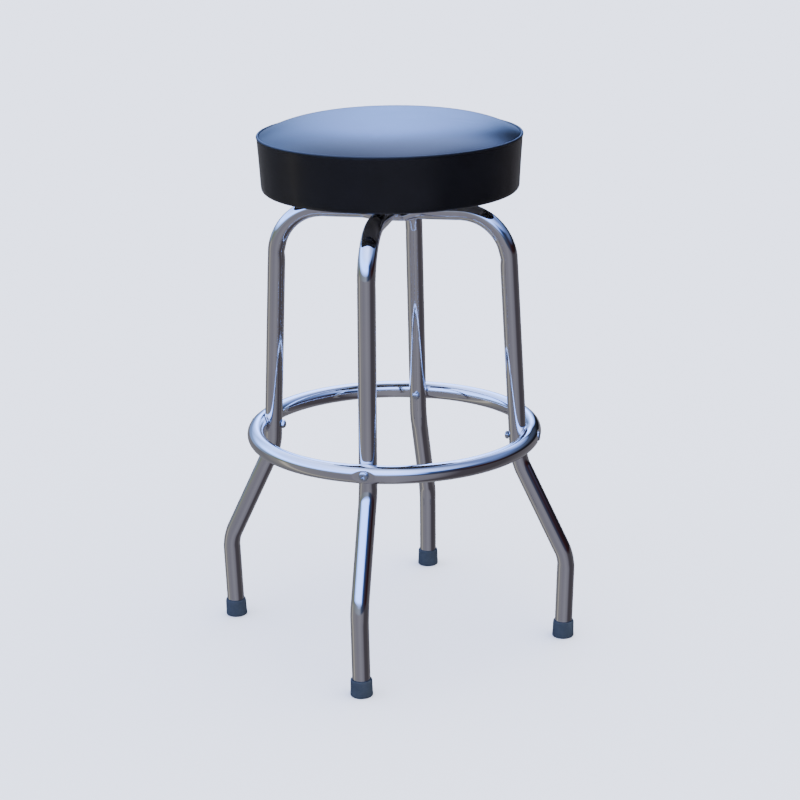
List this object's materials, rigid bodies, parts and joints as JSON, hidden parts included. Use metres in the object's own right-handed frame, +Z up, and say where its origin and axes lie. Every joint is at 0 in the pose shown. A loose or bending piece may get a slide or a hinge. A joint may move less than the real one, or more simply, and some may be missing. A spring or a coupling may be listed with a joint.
{
  "type": "bar stool",
  "caption": "Tall backless bar stool: crossed bent tube legs with a screwed-on foot ring, rubber tips, a ball-bearing swivel and a round padded vinyl seat.",
  "frame": {"origin": "on the floor, on the swivel axis, midway between the four leg tips", "axes": "+Z up along the swivel axis; the front leg is at -Y, the right leg at +X, the rear leg at +Y, the left leg at -X"},
  "size_m": [0.5264, 0.5264, 0.762],
  "materials": {
    "chrome_tube": "polished chrome plate on steel tube",
    "zinc_fastener": "bright zinc plate",
    "leg_tip_rubber": "matt moulded rubber, slate blue-grey",
    "black_plate": "semi-gloss black powder coat",
    "bearing_steel": "bright bearing steel",
    "bushing_plastic": "natural acetal",
    "plywood": "black-stained birch plywood",
    "seat_foam": "open-cell polyurethane foam",
    "vinyl": "black fine-grain expanded vinyl, satin sheen"
  },
  "bodies": {
    "base": {"frame_tube_left_right": "chrome_tube", "frame_tube_front_rear": "chrome_tube", "foot_ring": "chrome_tube", "ring_screw_front": "zinc_fastener", "ring_screw_right": "zinc_fastener", "ring_screw_rear": "zinc_fastener", "ring_screw_left": "zinc_fastener", "ring_cap_nut_front": "zinc_fastener", "ring_cap_nut_right": "zinc_fastener", "ring_cap_nut_rear": "zinc_fastener", "ring_cap_nut_left": "zinc_fastener", "leg_tip_front": "leg_tip_rubber", "leg_tip_right": "leg_tip_rubber", "leg_tip_rear": "leg_tip_rubber", "leg_tip_left": "leg_tip_rubber", "swivel_lower_plate": "black_plate", "plate_screw_front": "zinc_fastener", "plate_screw_right": "zinc_fastener", "plate_screw_rear": "zinc_fastener", "plate_screw_left": "zinc_fastener"},
    "cage": {"ball_cage": "bearing_steel", "bearing_ball_01": "bearing_steel", "bearing_ball_02": "bearing_steel", "bearing_ball_03": "bearing_steel", "bearing_ball_04": "bearing_steel", "bearing_ball_05": "bearing_steel", "bearing_ball_06": "bearing_steel", "bearing_ball_07": "bearing_steel", "bearing_ball_08": "bearing_steel", "bearing_ball_09": "bearing_steel", "bearing_ball_10": "bearing_steel"},
    "seat": {"swivel_upper_plate": "black_plate", "swivel_pin": "bearing_steel", "pivot_bushing": "bushing_plastic", "seat_screw_1": "zinc_fastener", "seat_screw_2": "zinc_fastener", "seat_screw_3": "zinc_fastener", "seat_screw_4": "zinc_fastener", "seat_board": "plywood", "seat_foam": "seat_foam", "seat_cover_top": "vinyl", "seat_cover_band": "vinyl", "welt_piping": "vinyl"}
  },
  "joints": [
    {"name": "seat_swivel", "type": "hinge", "parent": "base", "child": "seat", "pos_m": [0, 0, 0.65185], "axis": [0, 0, 1], "continuous": true},
    {"name": "cage_turn", "type": "hinge", "parent": "base", "child": "cage", "pos_m": [0, 0, 0.65185], "axis": [0, 0, 1], "continuous": true}
  ],
  "couplings": [
    {"joint": "cage_turn", "follows": "seat_swivel", "ratio": 0.5}
  ]
}
